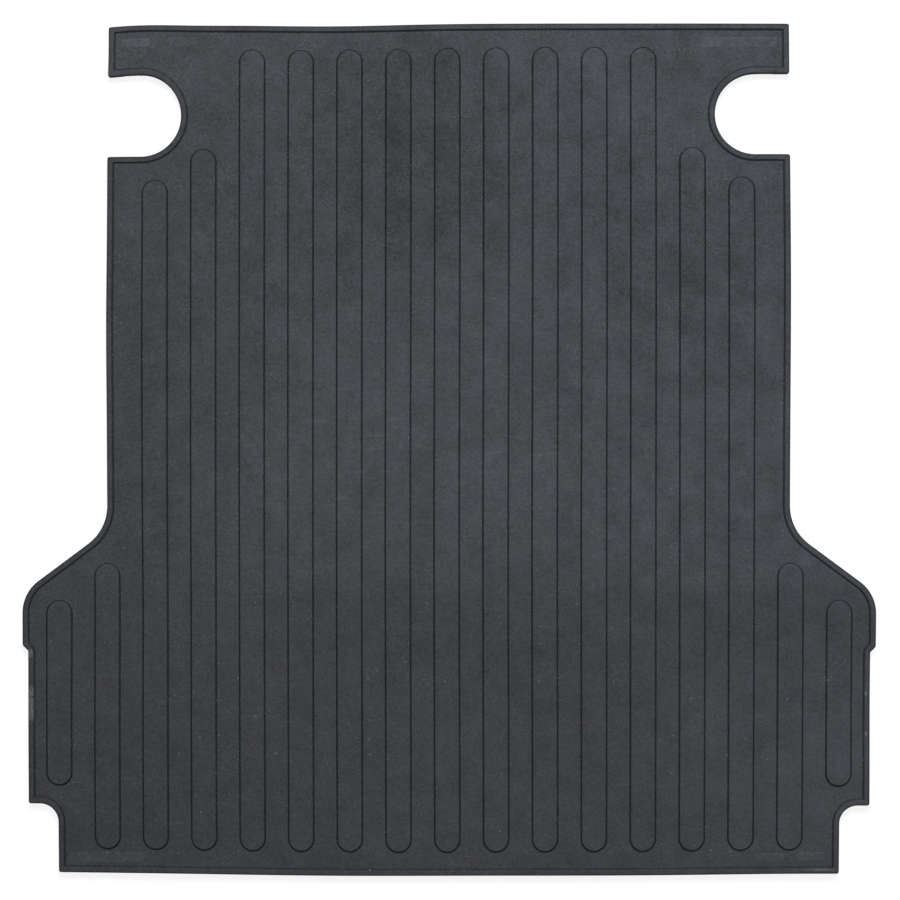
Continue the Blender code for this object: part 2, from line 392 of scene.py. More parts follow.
def quarter_round(offset, height, radius):
    """Offsets and heights over a rounded edge, from its flat top outwards and down."""
    steps = []
    for index in range(ROUND_STEPS + 1):
        angle = math.pi / 2 * index / ROUND_STEPS
        steps.append((offset + radius * math.sin(angle), height - radius * (1 - math.cos(angle))))
    return steps


def add_ring(shape, points, height, edge=0.0):
    """A ring of vertices; height is a number or a function of x, edge, its share of painted shade, a
    number or one per point.
    """
    layer = shape.verts.layers.float["edge"]
    edges = edge if isinstance(edge, list) else [edge] * len(points)
    ring = []
    for point, share in zip(points, edges):
        z = height(point.x) if callable(height) else height
        vert = shape.verts.new((point.x, point.y, z))
        vert[layer] = share
        ring.append(vert)
    return ring


def bridge(shape, first, second):
    pairs = zip(first, second, second[1:] + second[:1], first[1:] + first[:1])
    for corners in pairs:
        shape.faces.new(corners)


def bridge_all(shape, rings, closed=False):
    followers = rings[1:] + (rings[:1] if closed else [])
    for first, second in zip(rings, followers):
        bridge(shape, first, second)


def new_shape():
    shape = bmesh.new()
    shape.verts.layers.float.new("edge")
    return shape


def fill_between(shape, boundary, holes=(), lines=()):
    """Triangles inside a ring of vertices, left open in the holes, with extra lines of points."""
    loops = [boundary, *holes]
    verts = [vert for loop in loops for vert in loop]
    owner = {}
    edges = []
    first = 0
    for number, loop in enumerate(loops):
        count = len(loop)
        for index in range(count):
            owner[first + index] = number
            edges.append((first + index, first + (index + 1) % count))
        first += count
    for line in lines:
        edges.extend((len(verts) + index, len(verts) + index + 1) for index in range(len(line) - 1))
        verts.extend(line)
    flat = [vert.co.xy for vert in verts]
    _, _, faces, sources, _, _ = delaunay_2d_cdt(flat, edges, [], FILL_INSIDE, FILL_TOLERANCE, True)
    for face in faces:
        used = sorted(sources[index][0] for index in face)
        if stays(verts, used, owner):
            shape.faces.new([verts[index] for index in used])


def stays(verts, used, owner):
    """Whether a triangle is part of a fill: not in a hole, nor in a bay outside the border."""
    owners = {owner.get(index) for index in used}
    if len(owners) > 1 or owners == {None}:
        return True
    first, second, third = (verts[index].co.xy for index in used)
    return owners == {0} and (second - first).cross(third - first) > 0


def settle(place):
    """How far the lying rubber shifts sideways at a place."""
    flat = Vector((place.x, place.y))
    shift = flat * -DRAW_IN * flat.length_squared
    for centre, reach, move in BOWS:
        across = (flat.x - centre[0]) / reach[0]
        along = (flat.y - centre[1]) / reach[1]
        shift = shift + Vector(move) * math.exp(-across ** 2 - along ** 2)
    return shift


def make_piece(name, shape, material, nodes=()):
    """Turns a finished shape into a piece of the mat that rides on its body."""
    bmesh.ops.remove_doubles(shape, verts=shape.verts, dist=MERGE_DISTANCE)
    bmesh.ops.recalc_face_normals(shape, faces=shape.faces)
    for vert in shape.verts:
        shift = settle(vert.co)
        vert.co.x += shift.x
        vert.co.y += shift.y
    mesh = bpy.data.meshes.new(name)
    shape.to_mesh(mesh)
    shape.free()
    mesh.shade_smooth()
    mesh.set_sharp_from_angle(angle=SHARP_ANGLE)
    mesh.materials.append(material)
    piece = bpy.data.objects.new(name, mesh)
    bpy.context.scene.collection.objects.link(piece)
    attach(piece, "root")
    if nodes:
        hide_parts(*nodes)


# Pieces of the mat

def channel_height(x):
    """Height of the underside at x: nought on its flats, the full depth in a drain channel."""
    nearest = min(abs(x - place) for place in CHANNEL_PLACES)
    share = (CHANNEL_HALF + CHANNEL_SLOPE / 2 - nearest) / CHANNEL_SLOPE
    share = min(1.0, max(0.0, share))
    return CHANNEL_DEPTH * share * share * (3 - 2 * share)


def under(rise):
    return lambda x: channel_height(x) + rise


def lip_sections(wall, seat, floor):
    """Offset, height and share of painted shade from the field over a groove's lip to the seat beyond
    it.
    """
    sections = [(wall + LIP_ROUND + SUPPORT_BAND, FIELD_TOP, 0.0)]
    for offset, height in quarter_round(0.0, FIELD_TOP, LIP_ROUND):
        sections.append((wall + LIP_ROUND - offset, height, offset / LIP_ROUND))
    sections.append((wall - LIP_RUN, floor, 1.0))
    sections.append((seat, floor, 1.0))
    sections.append((seat, SEAT_TOP, 1.0))
    return sections


def foot_sections(wall, floor, top, rounding):
    """Offset, height and share of painted shade of a raised piece from its seat to its flat top."""
    sections = [
        (wall, SEAT_TOP, 1.0),
        (wall, floor, 1.0),
        (wall + FOOT_FLARE, floor, 1.0),
    ]
    for offset, height in reversed(quarter_round(0.0, top, rounding)):
        sections.append((wall - rounding + offset, height, TOP_EDGE_PAINTED_SHADE * offset / rounding))
    sections.append((wall - rounding - SUPPORT_BAND, top, 0.0))
    return sections


def rim_groove_edges(points, edge):
    """Shares of painted shade along the rim's groove: darkest on the sides, less where it runs across
    in front and faces the light.
    """
    edges = []
    for before, _, after in with_neighbours(points):
        run = (after - before).normalized()
        across = max(0.0, -run.x)
        edges.append(edge * (1.0 + SIDE_RUN_SHADE * run.y ** 2 - FRONT_RUN_PAINTED_LIGHT * across ** 2))
    return edges


def outline_rings(shape, sections):
    rings = []
    for inset, height, edge in sections:
        points = outline_ring(inset)
        edges = rim_groove_edges(points, edge) if inset > RIM_WIDTH / 2 else edge
        rings.append(add_ring(shape, points, height, edges))
    return rings


def rib_groove_edges(line, points, radius, edge):
    """Shares of painted shade round a rib: less in the groove's front end, where the light falls in."""
    edges = []
    for point in points:
        ahead = max(0.0, (point.y - line[2]) / radius)
        edges.append(edge * (1.0 - FRONT_END_PAINTED_LIGHT * ahead ** 2))
    return edges


def rib_rings(shape, line, sections):
    rings = []
    for radius, height, edge in sections:
        points = stadium_ring(line, radius)
        rings.append(add_ring(shape, points, height, rib_groove_edges(line, points, radius, edge)))
    return rings


def shade_lip_ends(shape, rings, line):
    """Paints shade on a pocket's lip round the rib's ends, most of all the shadow cast behind the rear
    one.
    """
    layer = shape.verts.layers.float["edge"]
    _, rear, front, radius = line
    for vert in (vert for ring in rings for vert in ring):
        behind = max(0.0, (rear - vert.co.y) / (radius + GROOVE_WIDTH))
        ahead = max(0.0, (vert.co.y - front) / (radius + GROOVE_WIDTH))
        shade = REAR_LIP_SHADE * behind ** 2 + FRONT_LIP_SHADE * ahead ** 2
        vert[layer] = max(vert[layer], shade)


def make_pocket(shape, line):
    """Lip, groove and seat of one rib's pocket; gives back the ring that borders the field."""
    radius = line[3]
    sections = lip_sections(radius + GROOVE_WIDTH, radius + SEAT_GAP, RIB_GROOVE_FLOOR)
    rings = rib_rings(shape, line, sections)
    shade_lip_ends(shape, rings[1:], line)
    bridge_all(shape, rings)
    shape.faces.new(rings[-1])
    return rings[0]


def sheet_edge_rings(shape):
    """Rings from the field, over the rim's seat and the outer wall, to the underside."""
    sections = lip_sections(RIM_WIDTH + GROOVE_WIDTH, RIM_WIDTH + SEAT_GAP, RIM_GROOVE_FLOOR)
    sections += [(SEAM_ROUND, SEAT_TOP, 1.0), (0.0, SEAT_TOP - SEAM_ROUND, 1.0)]
    rings = outline_rings(shape, sections)
    for offset, height in reversed(quarter_round(0.0, UNDER_ROUND, UNDER_ROUND)):
        points = outline_ring(UNDER_ROUND - offset)
        rings.append(add_ring(shape, points, under(UNDER_ROUND - height), offset / UNDER_ROUND))
    rings.append(add_ring(shape, outline_ring(UNDER_ROUND + SUPPORT_BAND), under(0.0)))
    return rings


def under_lines(shape, border):
    """Lines of points along the slopes of the drain channels, clear of the sheet's border."""
    places = [vert.co.xy for vert in border]
    lines = []
    for x in CHANNEL_LINES:
        for low, high in inside_spans(places, x):
            count = max(1, math.ceil((high - low) / UNDER_STEP))
            line = []
            for index in range(count + 1):
                y = low + (high - low) * index / count
                line.append(shape.verts.new((x, y, channel_height(x))))
            lines.append(line)
    return lines


def inside_spans(places, x):
    """The stretches of a lengthwise line at x that lie well inside a closed ring."""
    crossings = []
    for begin, end in zip(places, places[1:] + places[:1]):
        if (begin.x <= x) != (end.x <= x):
            share = (x - begin.x) / (end.x - begin.x)
            crossings.append(begin.y + share * (end.y - begin.y))
    crossings.sort()
    spans = []
    for low, high in zip(crossings[::2], crossings[1::2]):
        if high - low > LEAST_SPAN:
            spans.append((low + SPAN_CLEARANCE, high - SPAN_CLEARANCE))
    return spans


def make_base_sheet(material):
    shape = new_shape()
    edge_rings = sheet_edge_rings(shape)
    bridge_all(shape, edge_rings)
    borders = [make_pocket(shape, line) for line in RIB_LINES]
    fill_between(shape, edge_rings[0], borders)
    fill_between(shape, edge_rings[-1], lines=under_lines(shape, edge_rings[-1]))
    make_piece("mat_base_sheet", shape, material, ["base_sheet"])


def make_rim(material):
    """The raised bead along the edge, its outer wall flush with the sheet's."""
    shape = new_shape()
    sections = foot_sections(RIM_WIDTH, RIM_GROOVE_FLOOR, RIM_TOP, RIM_TOP_ROUND)
    sections.append((RIM_OUTER_ROUND + SUPPORT_BAND, RIM_TOP, 0.0))
    # Painted shade along the rim's outer rounded edge
    for offset, height in quarter_round(0.0, RIM_TOP, RIM_OUTER_ROUND):
        edge = OUTER_EDGE_PAINTED_SHADE + (1.0 - OUTER_EDGE_PAINTED_SHADE) * offset / RIM_OUTER_ROUND
        sections.append((RIM_OUTER_ROUND - offset, height, edge))
    sections.append((0.0, SEAT_TOP + SEAM_ROUND, 1.0))
    sections.append((SEAM_ROUND, SEAT_TOP, 1.0))
    bridge_all(shape, outline_rings(shape, sections), closed=True)
    make_piece("mat_edge_rim", shape, material, ["edge_rim"])


def make_rib(name, line, material):
    shape = new_shape()
    rings = rib_rings(shape, line, foot_sections(line[3], RIB_GROOVE_FLOOR, RIB_TOP, TOP_ROUND))
    bridge_all(shape, rings)
    shape.faces.new(rings[0])
    fill_between(shape, rings[-1])
    make_piece("mat_" + name, shape, material, [name])


def rectangle_ring(centre, size, grow):
    """A small rectangle with rounded corners, grown outwards."""
    half_x = size[0] / 2 + grow
    half_y = size[1] / 2 + grow
    signs = ((1, -1), (1, 1), (-1, 1), (-1, -1))
    corners = []
    for sign_x, sign_y in signs:
        place = (centre[0] + sign_x * half_x, centre[1] + sign_y * half_y)
        corners.append((*place, PLATE_CORNER + grow))
    points = []
    for arc_points in corner_arcs(corners, [ROUND_STEPS] * len(corners)):
        points.extend(arc_points)
    return points


def make_plate(name, centre, size, material):
    """A blank raised plate with sloping edges, sunk a little into the field."""
    shape = new_shape()
    sections = [
        (PLATE_EDGE, FIELD_TOP - PLATE_SINK),
        (PLATE_EDGE, FIELD_TOP),
        (PLATE_BEND_OUT, FIELD_TOP + PLATE_BEND_RISE),
        (0.0, FIELD_TOP + PLATE_RISE),
        (-SUPPORT_BAND, FIELD_TOP + PLATE_RISE),
    ]
    rings = [add_ring(shape, rectangle_ring(centre, size, grow), height) for grow, height in sections]
    bridge_all(shape, rings)
    shape.faces.new(rings[0])
    shape.faces.new(rings[-1])
    make_piece("mat_" + name, shape, material)


# Rubber: nodes that give colour, roughness and grain by place

# Colours of the rubber and of the marks on it
COOL_RUBBER = (0.0372, 0.0412, 0.0478, 1.0)
WARM_RUBBER = (0.0398, 0.0411, 0.0473, 1.0)
# Hue of the painted shade in the grooves and along the outer edge
GROOVE_SHADE_TINT = (0.0350, 0.0411, 0.0530, 1.0)
SPECK_COLOUR = (0.20, 0.205, 0.21, 1.0)
SCUFF_COLOUR = (0.13, 0.135, 0.14, 1.0)
SCRAPE_COLOUR = (0.19, 0.195, 0.20, 1.0)

# Shine, how far the painted shade darkens, and the height of the grain
RUBBER_SPECULAR = 0.22
ROUGHNESS = 0.72
EDGE_SHADE = 0.72
BUMP_STRENGTH = 0.35
BUMP_DISTANCE = 0.00025

# Looks of the rubber: name, brightness and strength of the flecks
SHEET_LOOK = ("sheet_rubber_look", 1.0, 0.55)
RIB_LOOK = ("rib_rubber_look", 1.005, 0.42)
RIM_LOOK = ("rim_rubber_look", 0.97, 0.42)
PLATE_LOOK = ("plate_rubber_look", 1.26, 0.55)
WORN_PLATE_LOOK = ("worn_plate_look", 1.45, 0.60)

# Layers of noise: scale, or scales by axis where it is stretched, then detail and amount
CLOUDS = (9.0, 2.0, 0.32)
BLOTCHES = (24.0, 2.0, 0.70)
SMUDGES = ((40.0, 130.0, 1.0), 3.0, 0.27)
MOTTLE = (75.0, 2.0, 0.29)
GRAIN = (280.0, 2.0, 1.25)
STREAKS = ((36.0, 1.6, 1.0), 2.0, 0.16)
DUST_WANDER = (8.0, 3.0, 0.10)
TINT_CLOUDS = (32.0, 3.0, 1.7)
ROUGH_CLOUDS = (90.0, 3.0, 0.25)
PEBBLES = (900.0, 2.0, 1.0)
DRAG_LINES = ((700.0, 18.0, 1.0), 1.0, 0.5)

# Patches cut from noise: scale or scales, detail, and the levels where they begin and are full
FLECKS = ((290.0, 420.0, 1.0), 2.0, 0.07, 0.19)
FLECK_CLUSTERS = ((16.0, 30.0, 1.0), 3.0, -0.02, 0.18)
WIPE_SMEARS = ((20.0, 75.0, 1.0), 5.0, 0.05, 0.24)
SCRAPE_GRAIN = ((480.0, 170.0, 1.0), 3.0, -0.20, 0.14)
SCUFF_PATCHES = (9.0, 2.0, 0.05, 0.25)
SCUFF_LINES = ((520.0, 24.0, 1.0), 1.0, 0.12, 0.30)

# Strength of the marks
WIPE_STRENGTH = 0.24
SCUFF_STRENGTH = 0.22
SCRAPE_STRENGTH = 0.60
SPECK_STRENGTH = 0.50

# Pale specks: spacing, size, ragged edges, the share that is chosen and the fade towards the front
SPECK_CELLS = 34.0
SPECK_SIZE = 0.050
SPECK_WOBBLE_SCALE = 500.0
SPECK_WOBBLE = (0.0016, 0.0016, 0.0)
SPECK_CHOSEN = (0.70, 0.76)
SPECK_LEVEL = 0.55
SPECK_SLOPE = -0.5

# Tint: its slopes across and along the mat, and the levels between which it turns from warm to cool
TINT_ACROSS = 0.40
TINT_ALONG = 0.50
TINT_LEVELS = (-0.25, 0.35)

# Strength of the clouds and of the grain: calmer at the rear and at the left
CALM_REAR_EDGE = (-0.28, -0.14)
CALM_LEFT_EDGE = (-0.60, 0.45)
BROAD_STRENGTH = (0.68, 1.06)
BROAD_LEFT_TO_RIGHT = (0.68, 1.22)
FINE_STRENGTH = (0.92, 1.07)

# Dust on the lying mat: one pale band across its middle, and soft spots (centre, reach, change)
DUST_BAND = 0.19
DUST_REAR_EDGE = (-0.235, -0.190)
DUST_FRONT_EDGE = (0.160, 0.330)
DUST_LEFT_EDGE = (-0.420, -0.220)
DUST_SLANT = -0.45
SPOT_CLEAN_FRONT = ((-0.050, 0.480), (0.120, 0.230), -0.20)
SPOT_CLEAN_FRONT_LEFT = ((-0.400, 0.460), (0.180, 0.200), -0.10)
SPOT_CLEAN_LEFT = ((-0.480, 0.160), (0.070, 0.140), -0.07)
SPOT_CLEAN_SHOULDER = ((-0.570, -0.260), (0.100, 0.070), -0.07)
SPOT_CLEAN_FRONT_RIGHT = ((0.440, 0.540), (0.120, 0.120), -0.06)
SPOT_CLEAN_RIGHT = ((0.370, 0.170), (0.130, 0.110), -0.07)
SPOT_CLEAN_WAIST = ((-0.520, -0.100), (0.060, 0.060), -0.12)
SPOT_CLEAN_REAR = ((0.150, -0.320), (0.140, 0.060), -0.07)
SPOT_CLEAN_MIDDLE = ((-0.130, -0.296), (0.200, 0.040), -0.06)
SPOT_CLEAN_REAR_LEFT = ((-0.500, -0.560), (0.280, 0.200), -0.12)
SPOT_DUSTY_FRONT = ((0.055, 0.275), (0.080, 0.070), 0.14)
SPOT_DUSTY_FRONT_RIGHT = ((0.455, 0.325), (0.060, 0.090), 0.07)
SPOT_DUSTY_MIDDLE = ((0.220, -0.030), (0.160, 0.070), 0.06)
SPOT_DUSTY_RIGHT = ((0.520, -0.100), (0.120, 0.110), 0.06)
SPOT_DUSTY_REAR = ((0.020, -0.530), (0.160, 0.090), 0.06)
SPOT_DUSTY_REAR_RIGHT = ((0.560, -0.480), (0.190, 0.150), 0.23)
SPOT_DUSTY_RIM_RIGHT = ((0.652, -0.420), (0.020, 0.150), 0.10)
SPOT_RUBBED_SHOULDER = ((0.523, -0.143), (0.014, 0.011), 0.20)
SPOT_RUBBED_SHOULDER_REAR = ((0.556, -0.172), (0.015, 0.008), 0.20)
SPOT_DARK_RIB_16 = ((0.527, -0.281), (0.009, 0.010), -0.20)
SPOT_DARK_RIB_17 = ((0.596, -0.281), (0.009, 0.010), -0.20)
SPOT_DARK_RIB_17_REAR = ((0.604, -0.432), (0.009, 0.008), -0.16)
SPOT_WIPED_LEFT = ((-0.180, -0.020), (0.032, 0.006), 0.16)
SPOT_WIPED_FAR_LEFT = ((-0.402, -0.064), (0.030, 0.009), 0.12)
SPOTS = (
    SPOT_CLEAN_FRONT,
    SPOT_CLEAN_FRONT_LEFT,
    SPOT_CLEAN_LEFT,
    SPOT_CLEAN_SHOULDER,
    SPOT_CLEAN_FRONT_RIGHT,
    SPOT_CLEAN_RIGHT,
    SPOT_CLEAN_WAIST,
    SPOT_CLEAN_REAR,
    SPOT_CLEAN_MIDDLE,
    SPOT_CLEAN_REAR_LEFT,
    SPOT_DUSTY_FRONT,
    SPOT_DUSTY_FRONT_RIGHT,
    SPOT_DUSTY_MIDDLE,
    SPOT_DUSTY_RIGHT,
    SPOT_DUSTY_REAR,
    SPOT_DUSTY_REAR_RIGHT,
    SPOT_DUSTY_RIM_RIGHT,
    SPOT_RUBBED_SHOULDER,
    SPOT_RUBBED_SHOULDER_REAR,
    SPOT_DARK_RIB_16,
    SPOT_DARK_RIB_17,
    SPOT_DARK_RIB_17_REAR,
    SPOT_WIPED_LEFT,
    SPOT_WIPED_FAR_LEFT,
)

# Soft spots on the ribs alone, whose tops rub clean or gather dust apart from the field
SPOT_RIB_DARK_FRONT = ((-0.055, 0.500), (0.125, 0.190), -0.19)
SPOT_RIB_DARK_LEFT = ((-0.170, 0.290), (0.050, 0.070), -0.11)
SPOT_RIB_DARK_RIGHT = ((0.395, 0.240), (0.060, 0.130), -0.18)
SPOT_RIB_PALE_MIDDLE = ((-0.020, -0.020), (0.400, 0.110), 0.075)
RIB_SPOTS = (
    SPOT_RIB_DARK_FRONT,
    SPOT_RIB_DARK_LEFT,
    SPOT_RIB_DARK_RIGHT,
    SPOT_RIB_PALE_MIDDLE,
)

# Scraped places on the rim (centre, reach, strength), and the field where dust was wiped across
SCRAPE_RIM_LEFT = ((-0.6490, -0.3950), (0.0080, 0.0300), 1.0)
SCRAPE_STEP_LEFT = ((-0.6508, -0.3165), (0.0052, 0.0100), 0.75)
SCRAPE_RIM_RIGHT = ((0.6480, -0.3760), (0.0025, 0.0040), 1.0)
SCRAPE_RIM_RIGHT_REAR = ((0.6480, -0.4390), (0.0022, 0.0050), 1.0)
SCRAPE_TAIL_CORNER = ((0.5780, -0.6500), (0.0390, 0.0034), 0.55)
SCRAPES = (
    SCRAPE_RIM_LEFT,
    SCRAPE_STEP_LEFT,
    SCRAPE_RIM_RIGHT,
    SCRAPE_RIM_RIGHT_REAR,
    SCRAPE_TAIL_CORNER,
)
SCRAPE_LEVELS = (0.30, 0.60)
WIPED_FIELD = ((-0.030, 0.000), (0.360, 0.110), 1.0)

# Numbers of the colour sockets on a mix node
MIX_FIRST = 6
MIX_SECOND = 7
MIX_RESULT = 2


class Nodes:
    """Short calls for the node tree of a material or of the world."""

    def __init__(self, owner):
        self.tree = owner.node_tree

    def add(self, kind, **values):
        node = self.tree.nodes.new(kind)
        for name, value in values.items():
            setattr(node, name, value)
        return node

    def feed(self, socket, value):
        if isinstance(value, bpy.types.NodeSocket):
            self.tree.links.new(value, socket)
        else:
            socket.default_value = value

    def maths(self, operation, first, second, clamp=False):
        node = self.add("ShaderNodeMath", operation=operation, use_clamp=clamp)
        self.feed(node.inputs[0], first)
        self.feed(node.inputs[1], second)
        return node.outputs[0]

    def total(self, parts):
        result = parts[0]
        for part in parts[1:]:
            result = self.maths("ADD", result, part)
        return result

    def vector_maths(self, operation, first, second, output="Vector"):
        node = self.add("ShaderNodeVectorMath", operation=operation)
        self.feed(node.inputs[0], first)
        self.feed(node.inputs[1], second)
        return node.outputs[output]

    def axis(self, place, name):
        node = self.add("ShaderNodeSeparateXYZ")
        self.feed(node.inputs[0], place)
        return node.outputs[name]

    def ramp(self, value, low, high):
        """0 below low, 1 above high, smooth between."""
        node = self.add("ShaderNodeMapRange", interpolation_type="SMOOTHSTEP")
        self.feed(node.inputs["Value"], value)
        node.inputs["From Min"].default_value = low
        node.inputs["From Max"].default_value = high
        return node.outputs["Result"]

    def noise(self, place, scale, detail):
        """Noise about nought, from about -0.5 to 0.5; scale is one number, or one for each axis."""
        if isinstance(scale, tuple):
            place = self.vector_maths("MULTIPLY", place, scale)
            scale = 1.0
        node = self.add("ShaderNodeTexNoise")
        self.feed(node.inputs["Vector"], place)
        node.inputs["Scale"].default_value = scale
        node.inputs["Detail"].default_value = detail
        return self.maths("SUBTRACT", node.outputs["Fac"], 0.5)

    def layer(self, place, scale, detail, amount):
        """A layer of noise, times an amount."""
        return self.maths("MULTIPLY", self.noise(place, scale, detail), amount)

    def patches(self, place, scale, detail, low, high):
        """Soft patches where the noise is above low, full where it is above high."""
        return self.ramp(self.noise(place, scale, detail), low, high)

    def mix(self, share, first, second):
        node = self.add("ShaderNodeMix", data_type="RGBA")
        self.feed(node.inputs["Factor"], share)
        self.feed(node.inputs[MIX_FIRST], first)
        self.feed(node.inputs[MIX_SECOND], second)
        return node.outputs[MIX_RESULT]

    def scaled(self, colour, amount):
        node = self.add("ShaderNodeVectorMath", operation="SCALE")
        self.feed(node.inputs[0], colour)
        self.feed(node.inputs["Scale"], amount)
        return node.outputs[0]


def soft_spot(nodes, place, centre, reach, change):
    """A change of tone that fades out smoothly round a centre."""
    shift = nodes.vector_maths("SUBTRACT", place, (*centre, 0.0))
    away = nodes.vector_maths("MULTIPLY", shift, (1.0 / reach[0], 1.0 / reach[1], 0.0))
    square = nodes.vector_maths("DOT_PRODUCT", away, away, output="Value")
    fade = nodes.maths("POWER", math.e, nodes.maths("MULTIPLY", square, -1.0))
    return nodes.maths("MULTIPLY", fade, change)


def dust_band(nodes, place):
    """The pale band across the middle, its edges wandering."""
    along = nodes.axis(place, "Y")
    wandering = nodes.maths("ADD", along, nodes.layer(place, *DUST_WANDER))
    rear = nodes.ramp(wandering, *DUST_REAR_EDGE)
    front = nodes.maths("SUBTRACT", 1.0, nodes.ramp(wandering, *DUST_FRONT_EDGE))
    slant = nodes.maths("MULTIPLY", along, DUST_SLANT)
    left = nodes.ramp(nodes.maths("ADD", nodes.axis(place, "X"), slant), *DUST_LEFT_EDGE)
    share = nodes.maths("MULTIPLY", nodes.maths("MULTIPLY", rear, front), left)
    return nodes.maths("MULTIPLY", share, DUST_BAND)


def change_along(nodes, place, axis, edge, values):
    """A strength that goes from one value to another where an axis crosses a soft edge."""
    share = nodes.ramp(nodes.axis(place, axis), *edge)
    return nodes.maths("ADD", nodes.maths("MULTIPLY", share, values[1] - values[0]), values[0])


def rubber_tone(nodes, place, spots):
    """Brightness of the bare rubber: dust, clouds, blotches, lengthwise streaks and grain."""
    broad = nodes.total([nodes.layer(place, *layer) for layer in (CLOUDS, BLOTCHES, SMUDGES)])
    fine = nodes.total([nodes.layer(place, *layer) for layer in (MOTTLE, GRAIN)])
    lively = change_along(nodes, place, "Y", CALM_REAR_EDGE, BROAD_STRENGTH)
    rightward = change_along(nodes, place, "X", CALM_LEFT_EDGE, BROAD_LEFT_TO_RIGHT)
    grainy = change_along(nodes, place, "Y", CALM_REAR_EDGE, FINE_STRENGTH)
    parts = [soft_spot(nodes, place, *spot) for spot in spots]
    parts += [
        dust_band(nodes, place),
        nodes.layer(place, *STREAKS),
        nodes.maths("MULTIPLY", broad, nodes.maths("MULTIPLY", lively, rightward)),
        nodes.maths("MULTIPLY", fine, grainy),
        1.0,
    ]
    return nodes.total(parts)


def speck_share(nodes, place):
    """Sparse pale specks of dust and talc, thicker towards the tail."""
    wobble = nodes.add("ShaderNodeTexNoise")
    nodes.feed(wobble.inputs["Vector"], place)
    wobble.inputs["Scale"].default_value = SPECK_WOBBLE_SCALE
    bent = nodes.add("ShaderNodeVectorMath", operation="MULTIPLY_ADD")
    nodes.feed(bent.inputs[0], wobble.outputs["Color"])
    bent.inputs[1].default_value = SPECK_WOBBLE
    nodes.feed(bent.inputs[2], place)
    cells = nodes.add("ShaderNodeTexVoronoi", feature="F1", voronoi_dimensions="2D")
    nodes.feed(cells.inputs["Vector"], bent.outputs[0])
    cells.inputs["Scale"].default_value = SPECK_CELLS
    pick = nodes.add("ShaderNodeSeparateColor")
    nodes.feed(pick.inputs[0], cells.outputs["Color"])
    chosen = nodes.ramp(pick.outputs[0], *SPECK_CHOSEN)
    size = nodes.maths("MULTIPLY", pick.outputs[1], SPECK_SIZE)
    inside = nodes.maths("LESS_THAN", cells.outputs["Distance"], size)
    rearward = nodes.maths("MULTIPLY", nodes.axis(place, "Y"), SPECK_SLOPE)
    share = nodes.maths("MULTIPLY", inside, chosen)
    return nodes.maths("MULTIPLY", share, nodes.maths("ADD", rearward, SPECK_LEVEL, clamp=True))


def fleck_share(nodes, place):
    """Small pale flecks of dust in loose clusters, drawn out a little across the mat."""
    flecks = nodes.patches(place, *FLECKS)
    return nodes.maths("MULTIPLY", flecks, nodes.patches(place, *FLECK_CLUSTERS))


def wipe_share(nodes, place):
    """Pale smears where a hand or a cloth went across the middle of the mat."""
    smears = nodes.patches(place, *WIPE_SMEARS)
    return nodes.maths("MULTIPLY", smears, soft_spot(nodes, place, *WIPED_FIELD))


def scrape_share(nodes, place):
    """Scraped places on the rim, broken up by the grain and kept to the raised tops."""
    spots = nodes.total([soft_spot(nodes, place, *scrape) for scrape in SCRAPES])
    broken = nodes.patches(place, *SCRAPE_GRAIN)
    raised = nodes.ramp(nodes.axis(place, "Z"), FIELD_TOP, RIM_TOP)
    share = nodes.ramp(spots, *SCRAPE_LEVELS)
    return nodes.maths("MULTIPLY", share, nodes.maths("MULTIPLY", broken, raised))


def scuff_share(nodes, place):
    """Faint rubbed marks, short and mostly lengthwise."""
    patch = nodes.patches(place, *SCUFF_PATCHES)
    return nodes.maths("MULTIPLY", patch, nodes.patches(place, *SCUFF_LINES))


def edge_tone(nodes, edge):
    """1 on the open tops, less where shade is painted: in the grooves and along the outer edge."""
    return nodes.maths("SUBTRACT", 1.0, nodes.maths("MULTIPLY", edge, EDGE_SHADE))


def tint_share(nodes, place):
    """0 where the rubber is warmer, at the rear left, and 1 where it is cooler, at the front right."""
    across = nodes.maths("MULTIPLY", nodes.axis(place, "X"), TINT_ACROSS)
    along = nodes.maths("MULTIPLY", nodes.axis(place, "Y"), TINT_ALONG)
    clouds = nodes.layer(place, *TINT_CLOUDS)
    return nodes.ramp(nodes.total([across, along, clouds]), *TINT_LEVELS)


def rubber_colour(nodes, place, level, dust, spots):
    """Colour of the rubber, with painted shade in the grooves and along the outer edge, under its
    flecks, smears, scuffs, scrapes and specks.
    """
    edge = nodes.add("ShaderNodeAttribute", attribute_name="edge").outputs["Fac"]
    colour = nodes.mix(tint_share(nodes, place), WARM_RUBBER, COOL_RUBBER)
    # Painted shade: the edge share tints and darkens the grooves and the outer edge
    colour = nodes.mix(edge, colour, GROOVE_SHADE_TINT)
    tone = nodes.maths("MULTIPLY", rubber_tone(nodes, place, spots), edge_tone(nodes, edge))
    colour = nodes.scaled(colour, nodes.maths("MULTIPLY", tone, level))
    marks = (
        (fleck_share, dust, SCUFF_COLOUR),
        (wipe_share, WIPE_STRENGTH, SCUFF_COLOUR),
        (scuff_share, SCUFF_STRENGTH, SCUFF_COLOUR),
        (scrape_share, SCRAPE_STRENGTH, SCRAPE_COLOUR),
        (speck_share, SPECK_STRENGTH, SPECK_COLOUR),
    )
    for share, strength, mark_colour in marks:
        mark = nodes.maths("MULTIPLY", share(nodes, place), strength)
        colour = nodes.mix(mark, colour, mark_colour)
    return colour


def grain_bump(nodes, place):
    """Fine pebbled grain of the mould, with faint lengthwise drag lines."""
    bump = nodes.add("ShaderNodeBump")
    bump.inputs["Strength"].default_value = BUMP_STRENGTH
    bump.inputs["Distance"].default_value = BUMP_DISTANCE
    grain = nodes.total([nodes.layer(place, *layer) for layer in (PEBBLES, DRAG_LINES)])
    nodes.feed(bump.inputs["Height"], grain)
    return bump.outputs["Normal"]


